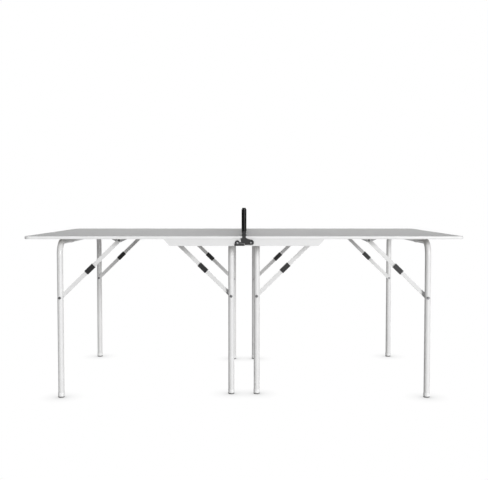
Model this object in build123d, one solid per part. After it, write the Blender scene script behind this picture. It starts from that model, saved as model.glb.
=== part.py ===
from build123d import *
import os
from math import cos, hypot, radians, sin

# A compact table tennis table: two half tables that stand side by side, each with two folding
# U-shaped leg frames, and a net that hooks onto pins at the joint between them.
# Millimetres, +Z up, +X along the length, origin on the floor below the table's centre.

# Table top
HEIGHT = 760.0
HALF_LENGTH = 1007.5
HALF_WIDTH = 562.5
HALF_GAP = 0.5  # each half table stops this far from the middle
BOARD_THICK = 13.0
BAND_THICK = 2.5
BAND_LIP = 0.8  # thickness of the band at its upper and lower edge
OUTER_CORNER_R = 30.0
INNER_CORNER_R = 5.0

# Leg frames
TUBE_R = 14.0
TUBE_WALL = 1.5
BEND_R = 60.0
HINGE_Z = HEIGHT - BOARD_THICK - TUBE_R - 0.5
OUTER_LEG_X = 858.0
OUTER_LEG_Y = 486.7
INNER_LEG_X = 60.7
INNER_LEG_Y = 416.9
FOLD_DEG = 89.0
CAP_R = 15.0
CAP_HIGH = 22.0
CAP_FLOOR = 4.0
CAP_GROOVE = 0.5

# Cross tube saddles
STRAP_THICK = 1.6  # of the saddles, and of the brace brackets' flanges
SADDLE_PLAY = 0.3
SADDLE_WIDE = 24.0
SADDLE_HALF_SPAN = 34.0
SADDLE_CORNER_R = 6.0
SADDLE_INSET = 250.0  # from the leg's axis, along the cross tube
SADDLE_SCREW_EDGE = 9.0

# Folding braces: u runs from the leg's axis in the folding direction, v from the leg's axis
# towards the table's middle
BRACE_REACH = 273.0
BRACE_TOP_Z = 737.0
BRACE_FOOT_Z = 470.0
FOLDED_DIP_DEG = 2.0
LINK_WIDE = 19.0
LOWER_LINK_V = (16.1, 19.1)
UPPER_LINK_V = (21.1, 24.1)
PIVOT_R = 3.0
PIVOT_PLAY = 0.06
FIXED_PLAY = 0.02
RIVET_HEAD_R = 6.0
RIVET_HEAD_HIGH = 1.6
RIVET_TAIL_HIGH = 2.0
KNEE_WASHER_R = 5.5
LINK_CHAMFER = 0.5
LEG_HEAD_R = 6.5
LEG_HEAD_HIGH = 3.0
LEG_HEAD_ROUND = 2.0
COLLAR_R = 6.0
COLLAR_END_V = 15.8

# Locking sleeves
SLEEVE_LONG = 50.0
SLEEVE_WIDE = 24.0
SLEEVE_LIFT = 4.0  # how far its middle rests above the knee
SLEEVE_V = (14.4, 26.4)
SLEEVE_CAVITY_V = (15.8, 24.4)
SLEEVE_SLOT_V = (15.8, 19.4)
SLEEVE_CAVITY_WIDE = 19.6
SLEEVE_ROUND = 1.8
SLEEVE_CHAMFER = 0.8
SLEEVE_RIBS = 7
RIB_GROOVE = 1.6
RIB_DEEP = 0.8

# Brace brackets
EAR_V = (24.4, 26.4)
EAR_LONG = 76.0
EAR_DROP = 18.5
EAR_TIP_HALF = 7.0
EAR_RIM = 4.0
BRACKET_DEEP_V = 46.0
BRACKET_SCREW_SPREAD = 50.0

# Side aprons
APRON_Y = 560.0
APRON_LOW_Z = 716.0
APRON_TOP_X = 367.5
APRON_LOW_X = 340.5
APRON_INNER_X = 1.5
APRON_THICK = 2.0
APRON_FLANGE = 20.0
APRON_SCREWS = (60.0, 190.0, 320.0)

# Wood screws
SCREW_R = 2.0
SCREW_LONG = 9.0
SCREW_TIP = 2.0
SCREW_HEAD_R = 4.0
SCREW_HEAD_HIGH = 2.2
SCREW_PLAY = 0.2

# Net and its clamps
PIN_X = 31.0
PIN_Z = 731.5
PIN_R = 3.5
PIN_END_Y = 579.5
PIN_FLANGE_R = 6.0
PIN_FLANGE_THICK = 1.5
CLAMP_Y = (563.5, 579.0)
CLAMP_FOOT_Z = 721.6
CLAMP_FOOT_X = 2.5
CLAMP_SHOULDER_Z = 749.0
CLAMP_SHOULDER_X = (-17.5, 16.5)
CLAMP_SHOULDER_RISE = 5.0
CLAMP_NECK_HALF = 8.5
CLAMP_BODY_X = -14.5
CLAMP_ARM_Y = -574.5  # the arms stand back from the body's face
CLAMP_BODY_END_X = 9.0
LOBE_R = 14.0
HOOK_R = 11.0
HOOK_LOW_Z = 727.6
HOOK_WEB_Z = 734.0
HOOK_PLAY = 0.6
CATCH_X = (-44.0, -1.0)
CATCH_Z = (717.3, 726.3)
CATCH_ROUND = 2.0
CATCH_TIP_X = 3.0
CATCH_TIP_GAP = 2.0
CATCH_SWING_GAP = 0.7
POST_Y = 574.1
POST_R = 11.1
POST_GROOVE = 6.6  # how far the net's groove cuts into the back
POST_GROOVE_PLAY = 0.3
POST_BASE_Z = 784.5
POST_TOP_Z = 884.5
COLLAR_Z = (761.5, 784.4)
COLLAR_DEEP = 14.0
KNUCKLE_IN = 0.6  # narrower than the post
KNUCKLE_CORNER_R = 4.0
KNUCKLE_ROUND = 2.6
KNUCKLE_STUD_R = 2.6
KNUCKLE_STUD_HIGH = 1.6
WAIST_HIGH = 2.6
WAIST_IN = 3.0
WAIST_CORNER_R = 3.0
POST_CHAMFER = 0.9
NET_END_Y = POST_Y - COLLAR_DEEP / 2 - 0.2  # in the post's groove, clear of the collar
NET_LOW_Z = 762.6
NET_TOP_Z = 874.0
NET_HALF_THICK = 0.6
TAPE_LOW_Z = 861.0
TAPE_TOP_Z = 876.5
TAPE_HALF_THICK = 2.6

BOARD_LOW_Z = HEIGHT - BOARD_THICK


def block(x, y, z):
    """A box between pairs of limits."""
    size = (x[1] - x[0], y[1] - y[0], z[1] - z[0])
    centre = ((x[0] + x[1]) / 2, (y[0] + y[1]) / 2, (z[0] + z[1]) / 2)
    return Pos(*centre) * Box(*size)


def rod(radius, p, y):
    """A round bar along Y between two limits, with its axis at p = (x, z)."""
    low, high = min(y), max(y)
    plane = Plane(origin=(p[0], low, p[1]), x_dir=(1, 0, 0), z_dir=(0, 1, 0))
    return extrude(plane * Circle(radius), amount=high - low)


def plate(outline, y):
    """A plate between two Y limits from a face drawn in X and Z."""
    return extrude(Plane(origin=(0, y[1], 0), x_dir=(1, 0, 0), z_dir=(0, -1, 0)) * outline,
                   amount=y[1] - y[0])


# ---------------------------------------------------------------- brace geometry

HINGE = (0.0, HINGE_Z)
BRACE_TOP = (BRACE_REACH, BRACE_TOP_Z)
BRACE_FOOT = (0.0, BRACE_FOOT_Z)


def brace_geometry():
    """Link lengths and the knee, from the straight brace and from the folded one.

    The two links in line span from the bracket to the leg's rivet. With the leg folded, the
    upper link dips by a small angle and the lower link still ends on the leg's rivet.
    """
    span = hypot(BRACE_TOP[0] - BRACE_FOOT[0], BRACE_TOP[1] - BRACE_FOOT[1])
    drop = HINGE_Z - BRACE_FOOT_Z
    folded_foot = (drop * sin(radians(FOLD_DEG)), HINGE_Z - drop * cos(radians(FOLD_DEG)))
    dip = (-cos(radians(FOLDED_DIP_DEG)), -sin(radians(FOLDED_DIP_DEG)))
    off = (BRACE_TOP[0] - folded_foot[0], BRACE_TOP[1] - folded_foot[1])
    upper = (span**2 - off[0] ** 2 - off[1] ** 2) / (
        2 * (span + dip[0] * off[0] + dip[1] * off[1])
    )
    along = ((BRACE_FOOT[0] - BRACE_TOP[0]) / span, (BRACE_FOOT[1] - BRACE_TOP[1]) / span)
    knee = (BRACE_TOP[0] + upper * along[0], BRACE_TOP[1] + upper * along[1])
    return span, upper, along, knee


BRACE_SPAN, UPPER_LONG, BRACE_ALONG, KNEE = brace_geometry()


def brace_point(distance):
    """The point on the straight brace at a distance from its upper pivot."""
    return (
        BRACE_TOP[0] + distance * BRACE_ALONG[0],
        BRACE_TOP[1] + distance * BRACE_ALONG[1],
    )


def brace_plane(point, v):
    """A drawing plane across v, with its first axis down the brace."""
    return Plane(
        origin=(point[0], v, point[1]),
        x_dir=(BRACE_ALONG[0], 0, BRACE_ALONG[1]),
        z_dir=(0, 1, 0),
    )


def link(p, q, v, first_hole, last_hole):
    """A flat bar with round ends and a hole at each end."""
    length = hypot(q[0] - p[0], q[1] - p[1])
    middle = ((p[0] + q[0]) / 2, (p[1] + q[1]) / 2)
    shape = SlotCenterToCenter(length, LINK_WIDE)
    shape -= Pos(-length / 2, 0) * Circle(first_hole)
    shape -= Pos(length / 2, 0) * Circle(last_hole)
    bar = extrude(brace_plane(middle, v[0]) * shape, amount=v[1] - v[0])
    rims = bar.faces().sort_by(Axis.Y)
    outer = [face.outer_wire().edges() for face in (rims[0], rims[-1])]
    return chamfer([edge for edges in outer for edge in edges], LINK_CHAMFER)


def upper_link():
    """The brace's upper link, from the bracket's rivet to the knee."""
    return link(BRACE_TOP, KNEE, UPPER_LINK_V, PIVOT_R + PIVOT_PLAY, PIVOT_R + FIXED_PLAY)


def lower_link():
    """The brace's lower link, from the knee to the leg's rivet."""
    return link(KNEE, BRACE_FOOT, LOWER_LINK_V, PIVOT_R + PIVOT_PLAY, PIVOT_R + FIXED_PLAY)


def knee_rivet():
    """The knee's rivet: flush on both outer faces, with a shoulder that keeps the links apart."""
    low, high = LOWER_LINK_V[0], UPPER_LINK_V[1]
    shank = rod(PIVOT_R, KNEE, (low, high))
    return shank + rod(KNEE_WASHER_R, KNEE, (LOWER_LINK_V[1] + 0.1, UPPER_LINK_V[0]))


def link_rivet():
    """The lower link's rivet: a low head on the inner face and a flush shank."""
    head_end = LOWER_LINK_V[1] + RIVET_HEAD_HIGH
    head = rod(RIVET_HEAD_R, BRACE_FOOT, (LOWER_LINK_V[1], head_end))
    head = chamfer(head.edges().group_by(Axis.Y)[-1], RIVET_HEAD_HIGH / 2)
    return head + rod(PIVOT_R, BRACE_FOOT, LOWER_LINK_V)


def bracket_rivet():
    """The upper pivot: low head, shank through link and ear, low tail."""
    head = rod(RIVET_HEAD_R, BRACE_TOP, (UPPER_LINK_V[0] - RIVET_HEAD_HIGH, UPPER_LINK_V[0] - 0.1))
    head = chamfer(head.edges().group_by(Axis.Y)[0], RIVET_HEAD_HIGH / 2)
    tail = rod(RIVET_HEAD_R, BRACE_TOP, (EAR_V[1], EAR_V[1] + RIVET_TAIL_HIGH))
    tail = chamfer(tail.edges().group_by(Axis.Y)[-1], RIVET_TAIL_HIGH / 2)
    return head + rod(PIVOT_R, BRACE_TOP, (UPPER_LINK_V[0] - 0.5, EAR_V[1] + 0.5)) + tail


def leg_rivet():
    """The rivet through the leg: domed head outside, a collar inside, both fitted to the tube."""
    tube = Pos(0, 0, BRACE_FOOT_Z) * Cylinder(TUBE_R, 40)
    outer_v = -TUBE_R - LEG_HEAD_HIGH
    head = rod(LEG_HEAD_R, BRACE_FOOT, (outer_v, -TUBE_R + 2))
    head = fillet(head.edges().group_by(Axis.Y)[0], LEG_HEAD_ROUND) - tube
    collar = rod(COLLAR_R, BRACE_FOOT, (TUBE_R - 2, COLLAR_END_V)) - tube
    return head + collar + rod(PIVOT_R, BRACE_FOOT, (outer_v + 1, COLLAR_END_V - 0.5))


def sleeve():
    """The ribbed locking sleeve over the knee, open below where the lower link swings out."""
    v_middle, v_deep = sum(SLEEVE_V) / 2, SLEEVE_V[1] - SLEEVE_V[0]
    frame = brace_plane(brace_point(UPPER_LONG - SLEEVE_LIFT), v_middle).location
    body = Box(SLEEVE_LONG, SLEEVE_WIDE, v_deep)
    body = fillet(body.edges().filter_by(Axis.X), SLEEVE_ROUND)
    ends = body.faces().sort_by(Axis.X)
    body = chamfer(ends[0].edges() + ends[-1].edges(), SLEEVE_CHAMFER)
    pitch = SLEEVE_LONG / (SLEEVE_RIBS + 1)
    ring = Box(RIB_GROOVE, SLEEVE_WIDE + 2, v_deep + 2)
    ring -= Box(RIB_GROOVE + 1, SLEEVE_WIDE - 2 * RIB_DEEP, v_deep - 2 * RIB_DEEP)
    for n in range(SLEEVE_RIBS):
        body -= Pos((n - (SLEEVE_RIBS - 1) / 2) * pitch, 0, 0) * ring
    cavity_deep = SLEEVE_CAVITY_V[1] - SLEEVE_CAVITY_V[0]
    cavity_at = sum(SLEEVE_CAVITY_V) / 2 - v_middle
    body -= Pos(0, 0, cavity_at) * Box(SLEEVE_LONG + 2, SLEEVE_CAVITY_WIDE, cavity_deep)
    slot_deep = SLEEVE_SLOT_V[1] - SLEEVE_SLOT_V[0]
    slot_at = sum(SLEEVE_SLOT_V) / 2 - v_middle
    slot = Pos(0, LOWER_SIDE * SLEEVE_WIDE / 2, slot_at)
    body -= slot * Box(SLEEVE_LONG + 2, SLEEVE_WIDE, slot_deep)
    return frame * body


# The drawing plane's second axis points up or down across the brace; the slot faces down.
LOWER_SIDE = -1 if brace_plane(KNEE, 0).y_dir.Z > 0 else 1


def brace_bracket():
    """The pressed bracket: a triangular ear with a screwed flange under the board."""
    half, low = EAR_LONG / 2, BOARD_LOW_Z - EAR_DROP
    x = BRACE_REACH
    outline = make_face(
        Polyline((x - half, BOARD_LOW_Z), (x + half, BOARD_LOW_Z), (x + half, BOARD_LOW_Z - EAR_RIM),
                 (x + EAR_TIP_HALF, low), (x - EAR_TIP_HALF, low), (x - half, BOARD_LOW_Z - EAR_RIM),
                 close=True)
    )
    ear = plate(outline, EAR_V)
    ear = fillet(ear.edges().filter_by(Axis.Y).group_by(Axis.Z)[0], 5.0)
    flange = block((x - half, x + half), (EAR_V[0], BRACKET_DEEP_V),
                   (BOARD_LOW_Z - STRAP_THICK, BOARD_LOW_Z))
    corners = flange.edges().filter_by(Axis.Z).group_by(Axis.Y)[-1]
    both = ear + fillet(corners, 6.0)
    both -= rod(PIVOT_R + FIXED_PLAY, BRACE_TOP, (EAR_V[0] - 1, EAR_V[1] + 1))
    for at in bracket_screws():
        both -= Pos(at[0], at[1], BOARD_LOW_Z) * Cylinder(SCREW_R + SCREW_PLAY, 10)
    return both


def bracket_screws():
    """Screw places of one bracket, as (u, v)."""
    v = (EAR_V[1] + BRACKET_DEEP_V) / 2 + 1
    return [(BRACE_REACH + k * BRACKET_SCREW_SPREAD / 2, v) for k in (-1, 1)]


# ---------------------------------------------------------------- leg frames

def leg_path(half_span):
    """The bent tube's centreline across the table, from one foot to the other."""
    low = CAP_FLOOR
    corners = [(0, -half_span, low), (0, -half_span, HINGE_Z), (0, half_span, HINGE_Z),
               (0, half_span, low)]
    return FilletPolyline(*corners, radius=BEND_R)


def leg_frame(half_span):
    """A U of round steel tube with a hole through each leg for the brace rivet."""
    path = leg_path(half_span)
    start = Plane(origin=path @ 0, z_dir=path % 0)
    ring = Circle(TUBE_R) - Circle(TUBE_R - TUBE_WALL)
    tube = sweep(start * ring, path=path)
    for side in (-1, 1):
        y = side * half_span
        tube -= rod(PIVOT_R + FIXED_PLAY, BRACE_FOOT, (y - TUBE_R - 2, y + TUBE_R + 2))
    return tube


def foot_cap():
    """A push-on cap with two shallow rings, at the foot of a leg."""
    cap = Pos(0, 0, CAP_HIGH / 2) * Cylinder(CAP_R, CAP_HIGH)
    cap = fillet(cap.edges().group_by(Axis.Z)[0], 2.0)
    cap = chamfer(cap.edges().group_by(Axis.Z)[-1], 0.6)
    bore_high = CAP_HIGH - CAP_FLOOR
    cap -= Pos(0, 0, CAP_FLOOR + bore_high / 2) * Cylinder(TUBE_R + 0.01, bore_high)
    for z in (5.5, CAP_HIGH - 4):
        groove = Cylinder(CAP_R + 1, 1.0) - Cylinder(CAP_R - CAP_GROOVE, 1.0)
        cap -= Pos(0, 0, z) * groove
    return cap


def tube_saddle():
    """A steel strap that holds the cross tube up to the board and lets it turn."""
    inner, outer = TUBE_R + SADDLE_PLAY, TUBE_R + SADDLE_PLAY + STRAP_THICK
    y = (-SADDLE_WIDE / 2, SADDLE_WIDE / 2)
    strap = block((-SADDLE_HALF_SPAN, SADDLE_HALF_SPAN), y,
                  (BOARD_LOW_Z - STRAP_THICK, BOARD_LOW_Z))
    strap = fillet(strap.edges().filter_by(Axis.Z), SADDLE_CORNER_R)
    strap += rod(outer, HINGE, y) & block((-outer, outer), y, (0, BOARD_LOW_Z - STRAP_THICK))
    strap += block((-outer, outer), y, (HINGE_Z, BOARD_LOW_Z))
    strap -= rod(inner, HINGE, (y[0] - 1, y[1] + 1))
    strap -= block((-inner, inner), (y[0] - 1, y[1] + 1), (HINGE_Z, BOARD_LOW_Z + 1))
    for at in saddle_screws():
        strap -= Pos(at[0], at[1], BOARD_LOW_Z) * Cylinder(SCREW_R + SCREW_PLAY, 10)
    return strap


def saddle_screws():
    """Screw places of one saddle, from the saddle's middle."""
    return [(k * (SADDLE_HALF_SPAN - SADDLE_SCREW_EDGE), 0) for k in (-1, 1)]


# ---------------------------------------------------------------- the top of the right half

def board_outline(grow):
    """The half table's outline, moved outwards by a distance, drawn in X and Y."""
    low, high = HALF_GAP + BAND_THICK - grow, HALF_LENGTH - BAND_THICK + grow
    half = HALF_WIDTH - BAND_THICK + grow
    shape = Pos((low + high) / 2, 0) * Rectangle(high - low, 2 * half)
    outer = shape.vertices().group_by(Axis.X)[-1]
    shape = fillet(outer, OUTER_CORNER_R - BAND_THICK + grow)
    inner = shape.vertices().group_by(Axis.X)[0]
    return fillet(inner, INNER_CORNER_R - BAND_THICK + grow)


def playing_board():
    """The board, with a pilot hole for each wood screw."""
    board = extrude(Pos(0, 0, BOARD_LOW_Z) * board_outline(0), amount=BOARD_THICK)
    pilots = [
        Pos(x, y, BOARD_LOW_Z + SCREW_LONG / 2) * Cylinder(SCREW_R, SCREW_LONG + 0.4)
        for x, y, _ in half_screws()
    ]
    return board - pilots


def edge_band():
    """The bulging plastic band round the board's edge: lip, bulge and lip, carried round it."""
    wire = (Pos(0, 0, BOARD_LOW_Z) * board_outline(0)).face().outer_wire()
    start = Plane(origin=wire @ 0.5, x_dir=(wire % 0.5).cross(Vector(0, 0, 1)), z_dir=wire % 0.5)
    out = 1 if (start.x_dir.dot(Vector(*(wire @ 0.5)) - Vector(HALF_LENGTH / 2, 0, 0))) > 0 else -1
    top = BOARD_THICK * (1 if start.y_dir.Z > 0 else -1)
    section = make_face([
        Line((0, 0), (out * BAND_LIP, 0)),
        ThreePointArc((out * BAND_LIP, 0), (out * BAND_THICK, top / 2), (out * BAND_LIP, top)),
        Line((out * BAND_LIP, top), (0, top)),
        Line((0, top), (0, 0)),
    ])
    return sweep(start * section, path=wire)


def apron():
    """One side apron of the right half's near side: a bent plate with a screwed flange."""
    outline = make_face(
        Polyline((APRON_INNER_X, BOARD_LOW_Z), (APRON_TOP_X, BOARD_LOW_Z),
                 (APRON_LOW_X, APRON_LOW_Z), (APRON_INNER_X, APRON_LOW_Z), close=True)
    )
    sheet = plate(outline, (-APRON_Y, -APRON_Y + APRON_THICK))
    sheet = fillet(sheet.edges().filter_by(Axis.Y).group_by(Axis.Z)[0], 3.0)
    sheet += block((APRON_INNER_X, APRON_LOW_X), (-APRON_Y, -APRON_Y + APRON_FLANGE),
                   (BOARD_LOW_Z - APRON_THICK, BOARD_LOW_Z))
    for x in APRON_SCREWS:
        sheet -= Pos(x, apron_screw_y(), BOARD_LOW_Z) * Cylinder(SCREW_R + SCREW_PLAY, 10)
    return sheet - rod(PIN_R + FIXED_PLAY, (PIN_X, PIN_Z), (-APRON_Y - 1, -APRON_Y + 5))


def apron_screw_y():
    """The apron screws' distance from the table's middle, on the near side."""
    return -APRON_Y + (APRON_FLANGE + APRON_THICK) / 2


def half_screws():
    """Every wood screw of the right half, as (x, y, z of the head's seat)."""
    seat = BOARD_LOW_Z - STRAP_THICK
    places = []
    for leg_x, leg_y, way in (OUTER, INNER):
        for side in (-1, 1):
            for du, dv in saddle_screws():
                places.append((leg_x + du, side * (leg_y - SADDLE_INSET) + dv, seat))
            for u, v in bracket_screws():
                places.append((leg_x + way * u, side * (leg_y - v), seat))
    for side in (-1, 1):
        for x in APRON_SCREWS:
            places.append((x, -side * apron_screw_y(), BOARD_LOW_Z - APRON_THICK))
    return places


def wood_screw():
    """A pan-head wood screw, pointing up, with its seat at the origin."""
    head = Pos(0, 0, -SCREW_HEAD_HIGH / 2) * Cylinder(SCREW_HEAD_R, SCREW_HEAD_HIGH)
    head = fillet(head.edges().group_by(Axis.Z)[0], 1.2)
    head -= Pos(0, 0, -SCREW_HEAD_HIGH) * Box(1.0, 4.4, 1.6)
    head -= Pos(0, 0, -SCREW_HEAD_HIGH) * Box(4.4, 1.0, 1.6)
    straight = SCREW_LONG - SCREW_TIP
    shank = Pos(0, 0, straight / 2) * Cylinder(SCREW_R - 0.02, straight)
    tip = Pos(0, 0, straight + SCREW_TIP / 2) * Cone(SCREW_R - 0.02, 0.4, SCREW_TIP)
    return head + shank + tip


# ---------------------------------------------------------------- net

def net_pin():
    """The steel pin that the net's clamp hangs on, pressed into the near apron."""
    pin = rod(PIN_R, (PIN_X, PIN_Z), (-PIN_END_Y, -APRON_Y + APRON_THICK))
    pin = chamfer(pin.edges().group_by(Axis.Y)[0], 0.8)
    inner = -APRON_Y + APRON_THICK
    return pin + rod(PIN_FLANGE_R, (PIN_X, PIN_Z), (inner, inner + PIN_FLANGE_THICK))


def net_catch():
    """The moulded rest below the left half's near pin, which the hook's legs stand over.

    Its tip reaches under the clamp's foot and is hollowed round the right pin, so that the foot
    swings past it.
    """
    bar = block(CATCH_X, (-CLAMP_Y[1], -APRON_Y), CATCH_Z)
    bar = fillet(bar.edges().filter_by(Axis.Y).group_by(Axis.X)[0], CATCH_ROUND)
    tip_y = (-CLAMP_Y[1], -APRON_Y - CATCH_TIP_GAP)
    tip = block((CATCH_X[1] - 1, CATCH_TIP_X), tip_y, CATCH_Z)
    reach = hypot(PIN_X - CLAMP_FOOT_X, PIN_Z - CLAMP_FOOT_Z) + CATCH_SWING_GAP
    return bar + tip - rod(reach, (PIN_X, PIN_Z), (-CLAMP_Y[1] - 1, -APRON_Y + 1))


def net_clamp():
    """The near clamp: closed lobe over the right pin, open hook over the left one, and a neck."""
    y = (-CLAMP_Y[1], -CLAMP_Y[0])
    through = (y[0] - 1, y[1] + 1)
    neck, shoulder_z, bend = CLAMP_NECK_HALF, CLAMP_SHOULDER_Z, CLAMP_SHOULDER_RISE
    left, right = CLAMP_SHOULDER_X
    outline = make_face(
        Polyline((CLAMP_BODY_X, HOOK_LOW_Z), (CLAMP_FOOT_X, HOOK_LOW_Z), (CLAMP_FOOT_X, CLAMP_FOOT_Z),
                 (PIN_X, CLAMP_FOOT_Z), (PIN_X, PIN_Z + LOBE_R), (right, shoulder_z),
                 (neck, shoulder_z + bend), (neck, COLLAR_Z[0]), (-neck, COLLAR_Z[0]),
                 (-neck, shoulder_z + bend), (left, shoulder_z),
                 (CLAMP_BODY_X, shoulder_z + left - CLAMP_BODY_X), close=True)
    )
    body = plate(outline, y)
    high_z = PIN_Z + 2 * LOBE_R
    body += rod(LOBE_R, (PIN_X, PIN_Z), y) & block((0, 2 * PIN_X), y, (CLAMP_FOOT_Z, high_z))
    hook = rod(HOOK_R, (-PIN_X, PIN_Z), y) & block((-2 * PIN_X, -HOOK_R), y, (HOOK_LOW_Z, high_z))
    slot = PIN_R + HOOK_PLAY
    hook += block((-PIN_X + slot, CLAMP_BODY_X + 1), y, (HOOK_LOW_Z, HOOK_WEB_Z))
    body += hook
    for reach in ((-2 * PIN_X, CLAMP_BODY_X), (CLAMP_BODY_END_X, 2 * PIN_X)):
        body -= block(reach, (y[0] - 1, CLAMP_ARM_Y), (CATCH_Z[0], high_z))
    body -= block((-PIN_X - slot, -PIN_X + slot), through, (CATCH_Z[0], PIN_Z))
    body -= rod(slot, (-PIN_X, PIN_Z), through)
    return body - rod(PIN_R + PIVOT_PLAY, (PIN_X, PIN_Z), through)


def net_post():
    """The near post, with a groove that takes the net's edge."""
    at = Pos(0, -POST_Y, POST_BASE_Z)
    post = extrude(at * Circle(POST_R), amount=POST_TOP_Z - POST_BASE_Z)
    post = chamfer(post.edges().group_by(Axis.Z)[-1], POST_CHAMFER)
    half = TAPE_HALF_THICK + POST_GROOVE_PLAY
    back = -POST_Y + POST_R
    return post - block((-half, half), (back - POST_GROOVE, back + 1), (POST_BASE_Z, TAPE_TOP_Z + 1))


def post_collar():
    """The near height adjuster between the clamp and the post: two round knuckles and a waist."""
    low, high = COLLAR_Z
    wide = 2 * POST_R - KNUCKLE_IN
    knuckle_high = (high - low - WAIST_HIGH) / 2
    waist = RectangleRounded(wide - 2 * WAIST_IN, COLLAR_DEEP - WAIST_IN, WAIST_CORNER_R)
    body = extrude(Pos(0, -POST_Y, low + 1) * waist, amount=high - low - 2)
    outline = RectangleRounded(wide, COLLAR_DEEP, KNUCKLE_CORNER_R)
    face = -POST_Y - COLLAR_DEEP / 2
    for base in (low, high - knuckle_high):
        knuckle = extrude(Pos(0, -POST_Y, base) * outline, amount=knuckle_high)
        rims = knuckle.edges().group_by(Axis.Z)
        body += fillet(rims[0] + rims[-1], KNUCKLE_ROUND)
        stud = rod(KNUCKLE_STUD_R, (0, base + knuckle_high / 2), (face - KNUCKLE_STUD_HIGH, -POST_Y))
        body += fillet(stud.edges().group_by(Axis.Y)[0], KNUCKLE_STUD_HIGH / 2)
    return body


def net_sheet():
    """The net, stretched from post to post just over the boards."""
    return block((-NET_HALF_THICK, NET_HALF_THICK), (-NET_END_Y, NET_END_Y),
                 (NET_LOW_Z, NET_TOP_Z))


def net_tape():
    """The tape folded over the net's upper edge."""
    tape = block((-TAPE_HALF_THICK, TAPE_HALF_THICK), (-NET_END_Y, NET_END_Y),
                 (TAPE_LOW_Z, TAPE_TOP_Z))
    tape = fillet(tape.edges().filter_by(Axis.Y).group_by(Axis.Z)[-1], 2.0)
    inside = NET_HALF_THICK + 0.1
    tape -= block((-inside, inside), (-NET_END_Y - 1, NET_END_Y + 1),
                  (TAPE_LOW_Z - 1, NET_TOP_Z + 0.1))
    return tape


# ---------------------------------------------------------------- placing

OUTER = (OUTER_LEG_X, OUTER_LEG_Y, -1)  # leg axis, and the way in which the frame folds
INNER = (INNER_LEG_X, INNER_LEG_Y, 1)
FRAMES = {"outer": OUTER, "inner": INNER}
HALVES = {"left": -1, "right": 1}
SIDES = {"near": -1, "far": 1}


def mirrored(shape, flip_x, flip_y):
    """The shape, mirrored left to right and near to far as asked."""
    if flip_x:
        shape = mirror(shape, about=Plane.YZ)
    if flip_y:
        shape = mirror(shape, about=Plane.XZ)
    return shape


def at_leg(shape, frame, half, side):
    """A brace or leg piece drawn in u, v and z, at one leg of one frame of one half."""
    leg_x, leg_y, way = FRAMES[frame]
    piece = mirrored(shape, way < 0, SIDES[side] > 0)
    piece = Pos(leg_x, SIDES[side] * leg_y, 0) * piece
    return mirrored(piece, HALVES[half] < 0, False)


def both_sides(shape, half="right"):
    """A piece of the right half's near side, near and far, on either half."""
    return [mirrored(shape, HALVES[half] < 0, flip) for flip in (False, True)]


def half_nodes(half):
    """The nodes that are fixed to one half table."""
    left = HALVES[half] < 0
    saddles, brackets, rivets = [], [], []
    for frame, (leg_x, leg_y, _) in FRAMES.items():
        for side in SIDES:
            middle = Pos(leg_x, SIDES[side] * (leg_y - SADDLE_INSET), 0) * SADDLE
            saddles.append(mirrored(middle, left, False))
            brackets.append(at_leg(BRACKET, frame, half, side))
            rivets.append(at_leg(BRACKET_RIVET, frame, half, side))
    screws = [mirrored(Pos(*place) * SCREW, left, False) for place in half_screws()]
    return {
        "playing_board": [mirrored(BOARD, left, False)],
        "edge_band": [mirrored(BAND, left, False)],
        "side_aprons": both_sides(APRON, half),
        "tube_saddles": saddles,
        "brace_brackets": brackets,
        "bracket_rivets": rivets,
        "wood_screws": screws,
        "net_pins": both_sides(PIN, half),
    }


def frame_nodes(half, frame):
    """The nodes of one folding leg frame and its two braces."""
    leg_x, leg_y, _ = FRAMES[frame]
    tube = mirrored(Pos(leg_x, 0, 0) * leg_frame(leg_y), HALVES[half] < 0, False)

    def pair(shape):
        return [at_leg(shape, frame, half, side) for side in SIDES]

    nodes = {
        "leg_frame": [tube],
        "foot_caps": pair(CAP),
        "leg_rivets": pair(LEG_RIVET),
        "upper_links": pair(UPPER_LINK),
        "knee_rivets": pair(KNEE_RIVET),
        "lower_links": pair(LOWER_LINK),
        "link_rivets": pair(LINK_RIVET),
    }
    for side in SIDES:
        nodes[f"{side}_sleeve"] = [at_leg(SLEEVE, frame, half, side)]
    return nodes


def net_nodes():
    """The nodes of the net assembly and of the left half's two rests for its hooks."""
    return {
        "net_catches": both_sides(net_catch()),
        "net_clamps": both_sides(net_clamp()),
        "net_collars": both_sides(post_collar()),
        "net_posts": both_sides(net_post()),
        "net_mesh": [net_sheet()],
        "net_tape": [net_tape()],
    }


UPPER_LINK, LOWER_LINK = upper_link(), lower_link()
KNEE_RIVET, LINK_RIVET = knee_rivet(), link_rivet()
BRACKET_RIVET, LEG_RIVET = bracket_rivet(), leg_rivet()
SLEEVE, BRACKET, SADDLE = sleeve(), brace_bracket(), tube_saddle()
CAP, SCREW, PIN = foot_cap(), wood_screw(), net_pin()
BOARD, BAND, APRON = playing_board(), edge_band(), apron()

NODES = dict(net_nodes())
for half in HALVES:
    for name, solids in half_nodes(half).items():
        NODES[f"{half}_{name}"] = solids
    for frame in FRAMES:
        for name, solids in frame_nodes(half, frame).items():
            NODES[f"{half}_{frame}_{name}"] = solids

os.makedirs("parts", exist_ok=True)
for name, shapes in NODES.items():
    solids = [solid for shape in shapes for solid in shape.solids()]
    made = solids[0] if len(solids) == 1 else Compound(children=solids)
    export_step(made, f"parts/{name}.step")

print(f"{len(NODES)} nodes, upper link {UPPER_LONG:.2f}, lower link {BRACE_SPAN - UPPER_LONG:.2f}")
print(f"knee at u {KNEE[0]:.2f}, z {KNEE[1]:.2f}")
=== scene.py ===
"""Finishes, net and studio for a compact table tennis table made of two folding half tables.

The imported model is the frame: every size and place here comes from its nodes. This script gives each
part the finish of the real one, and makes the net, its tape, hems and stitching, which the frame only
holds as plain solids. Lengths are in metres; names that end in _mm are in millimetres.
"""
from __future__ import annotations

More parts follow.
